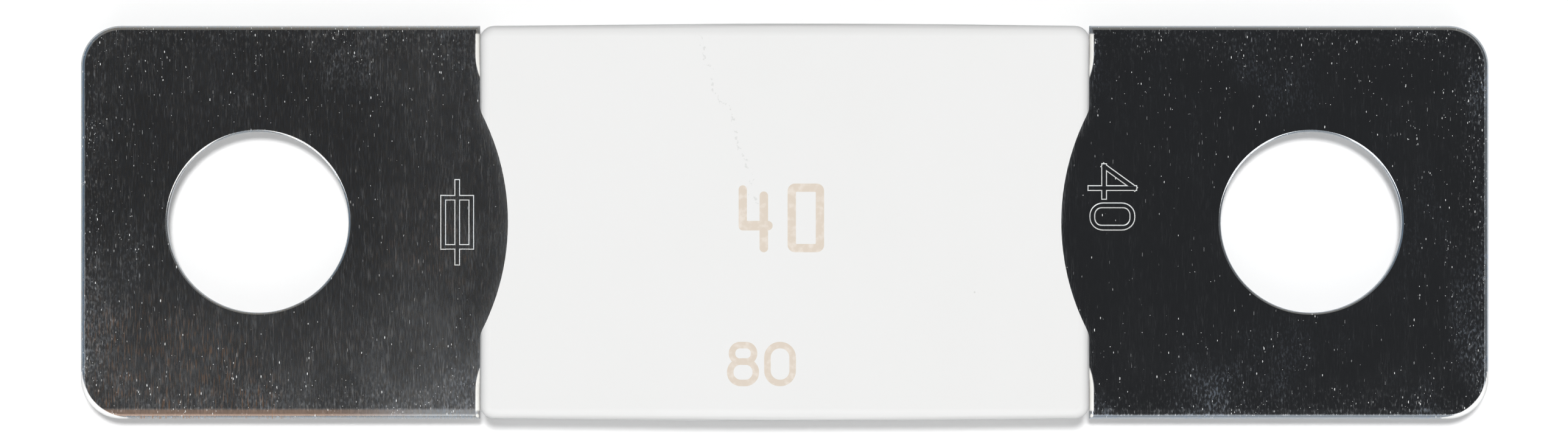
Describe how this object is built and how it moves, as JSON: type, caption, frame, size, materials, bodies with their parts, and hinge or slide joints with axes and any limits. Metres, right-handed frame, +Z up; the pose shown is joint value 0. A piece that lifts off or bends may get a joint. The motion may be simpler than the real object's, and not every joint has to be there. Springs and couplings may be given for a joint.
{
  "type": "bolt down strip fuse",
  "caption": "Bolt-down strip fuse: a stamped tinned copper strip with a bolt hole in each end tab, its melting link shut between white ceramic half shells.",
  "frame": {"origin": "middle of the underside of the body, on the surface that the lower shell rests on", "axes": "+X along the strip through both bolt holes, +Y across the strip, +Z up to the face that carries the rating"},
  "size_m": [0.0802, 0.0226, 0.008],
  "materials": {
    "tinned_copper": "bright tin plate over rolled copper, with fine grain across the strip, rubs and copper showing faintly",
    "white_ceramic": "pressed and fired white steatite, satin, with faint grey rub marks and pale beige printed numbers",
    "tin": "soft grey tin, melted on",
    "cement": "matt pale grey ceramic cement"
  },
  "bodies": {
    "root": {"fuse_strip": "tinned_copper", "tin_bead": "tin", "lower_shell": "white_ceramic", "upper_shell": "white_ceramic", "cement_front": "cement", "cement_rear": "cement"}
  },
  "joints": []
}
